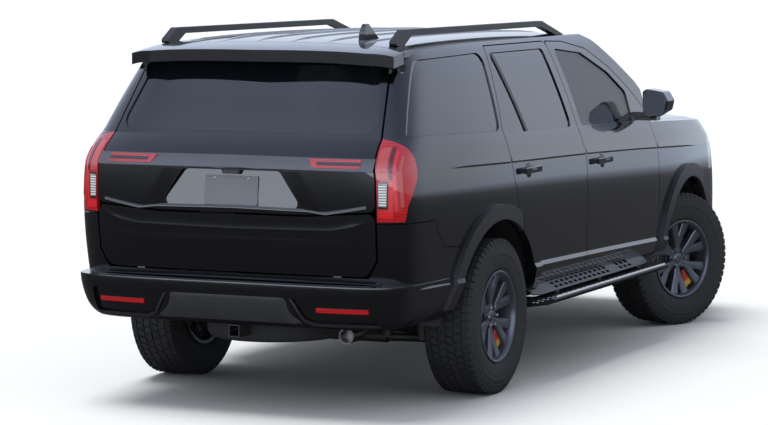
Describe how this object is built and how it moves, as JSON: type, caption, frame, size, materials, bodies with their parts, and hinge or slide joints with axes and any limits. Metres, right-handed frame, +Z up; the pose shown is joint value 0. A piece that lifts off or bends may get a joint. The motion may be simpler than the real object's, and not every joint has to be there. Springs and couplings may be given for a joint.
{
  "type": "sport utility vehicle",
  "caption": "Full-size body-on-frame utility vehicle with a hollow cab, hinged doors, hood, liftgate and tailgate, and steered front wheels.",
  "frame": {"origin": "on the ground, midway along and across the vehicle", "axes": "+X forward, +Y to the vehicle's left, +Z up"},
  "size_m": [5.3293, 2.3452, 1.9533],
  "materials": {
    "black_paint": "gloss",
    "black_trim": "satin",
    "privacy_glass": "polished",
    "clear_glass": "polished",
    "red_lamp": "gloss",
    "clear_lamp": "gloss",
    "chassis_steel": "satin",
    "floor_paint": "matte",
    "exhaust_steel": "satin",
    "cast_alloy": "matte",
    "tank_plastic": "matte",
    "wheel_grey": "satin",
    "tyre_rubber": "matte",
    "seat_leather": "satin",
    "cabin_plastic": "matte"
  },
  "bodies": {
    "body": {"floor_pan": "floor_paint", "body_side_right": "black_paint", "body_side_left": "black_paint", "roof_panel": "black_paint", "front_fenders": "black_paint", "front_bumper": "black_paint", "grille": "black_trim", "headlamps": "clear_lamp", "radiator": "cast_alloy", "fixed_glass": "privacy_glass", "cowl": "black_paint", "tail_lamps": "red_lamp", "rear_bumper": "black_paint", "arch_mouldings": "black_trim", "roof_rails": "black_trim", "antenna_fin": "black_paint", "running_boards": "black_trim", "arch_liners": "black_trim", "frame": "chassis_steel", "cross_members": "chassis_steel", "reflectors": "red_lamp", "engine_block": "cast_alloy", "driveline": "chassis_steel", "rear_axle": "chassis_steel", "front_arms": "chassis_steel", "exhaust": "exhaust_steel", "spare_wheel": "tyre_rubber", "fuel_tank": "tank_plastic", "seats": "seat_leather", "dashboard": "cabin_plastic"},
    "hood": {"hood": "black_paint"},
    "liftgate": {"liftgate": "black_paint", "liftgate_glass": "privacy_glass", "gate_lamps": "red_lamp"},
    "tailgate": {"tailgate": "black_paint"},
    "front_door_right": {"front_door_right": "black_paint", "front_door_glass_right": "clear_glass", "mirror_right": "black_paint"},
    "rear_door_right": {"rear_door_right": "black_paint", "rear_door_glass_right": "privacy_glass"},
    "front_door_left": {"front_door_left": "black_paint", "front_door_glass_left": "clear_glass", "mirror_left": "black_paint"},
    "rear_door_left": {"rear_door_left": "black_paint", "rear_door_glass_left": "privacy_glass"},
    "knuckle_right": {"knuckle_front_right": "chassis_steel"},
    "knuckle_left": {"knuckle_front_left": "chassis_steel"},
    "wheel_front_right": {"rim_front_right": "wheel_grey", "tyre_front_right": "tyre_rubber"},
    "wheel_front_left": {"rim_front_left": "wheel_grey", "tyre_front_left": "tyre_rubber"},
    "wheel_rear_right": {"rim_rear_right": "wheel_grey", "tyre_rear_right": "tyre_rubber"},
    "wheel_rear_left": {"rim_rear_left": "wheel_grey", "tyre_rear_left": "tyre_rubber"},
    "steering_wheel": {"steering_wheel": "cabin_plastic"}
  },
  "joints": [
    {"name": "steer_left", "type": "hinge", "parent": "body", "child": "knuckle_left", "pos_m": [1.612, 0.79, 0.411], "axis": [0, 0, 1], "range_deg": [-9, 55]},
    {"name": "steer_right", "type": "hinge", "parent": "body", "child": "knuckle_right", "pos_m": [1.612, -0.79, 0.411], "axis": [0, 0, 1], "range_deg": [-9, 55]},
    {"name": "steering_wheel_turn", "type": "hinge", "parent": "body", "child": "steering_wheel", "pos_m": [0.455, 0.375, 1.09], "axis": [-0.9063, 0, 0.4226], "range_deg": [-135, 825]},
    {"name": "wheel_spin_front_right", "type": "hinge", "parent": "knuckle_right", "child": "wheel_front_right", "pos_m": [1.57996, -0.86548, 0.411], "axis": [0.3907, 0.9205, 0], "continuous": true},
    {"name": "wheel_spin_front_left", "type": "hinge", "parent": "knuckle_left", "child": "wheel_front_left", "pos_m": [1.64404, 0.86548, 0.411], "axis": [0.3907, 0.9205, 0], "continuous": true},
    {"name": "wheel_spin_rear_right", "type": "hinge", "parent": "body", "child": "wheel_rear_right", "pos_m": [-1.5, -0.872, 0.411], "axis": [0, 1, 0], "continuous": true},
    {"name": "wheel_spin_rear_left", "type": "hinge", "parent": "body", "child": "wheel_rear_left", "pos_m": [-1.5, 0.872, 0.411], "axis": [0, 1, 0], "continuous": true},
    {"name": "front_door_right_hinge", "type": "hinge", "parent": "body", "child": "front_door_right", "pos_m": [1.02146, -1.014, 0.9], "axis": [0, 0, 1], "range_deg": [0, 65]},
    {"name": "rear_door_right_hinge", "type": "hinge", "parent": "body", "child": "rear_door_right", "pos_m": [-0.20349, -1.014, 0.9], "axis": [0, 0, 1], "range_deg": [0, 65]},
    {"name": "front_door_left_hinge", "type": "hinge", "parent": "body", "child": "front_door_left", "pos_m": [1.02146, 1.014, 0.9], "axis": [0, 0, -1], "range_deg": [0, 65]},
    {"name": "rear_door_left_hinge", "type": "hinge", "parent": "body", "child": "rear_door_left", "pos_m": [-0.20349, 1.014, 0.9], "axis": [0, 0, -1], "range_deg": [0, 65]},
    {"name": "hood_hinge", "type": "hinge", "parent": "body", "child": "hood", "pos_m": [1.13081, 0, 1.345], "axis": [0, -1, 0], "range_deg": [0, 50]},
    {"name": "liftgate_hinge", "type": "hinge", "parent": "body", "child": "liftgate", "pos_m": [-2.1496, 0, 1.8924], "axis": [0, 1, 0], "range_deg": [0, 85]},
    {"name": "tailgate_hinge", "type": "hinge", "parent": "body", "child": "tailgate", "pos_m": [-2.60033, 0, 0.718], "axis": [0, -1, 0], "range_deg": [0, 90]}
  ],
  "couplings": [
    {"joint": "steer_right", "follows": "steer_left", "ratio": 1},
    {"joint": "steering_wheel_turn", "follows": "steer_left", "ratio": 15}
  ]
}
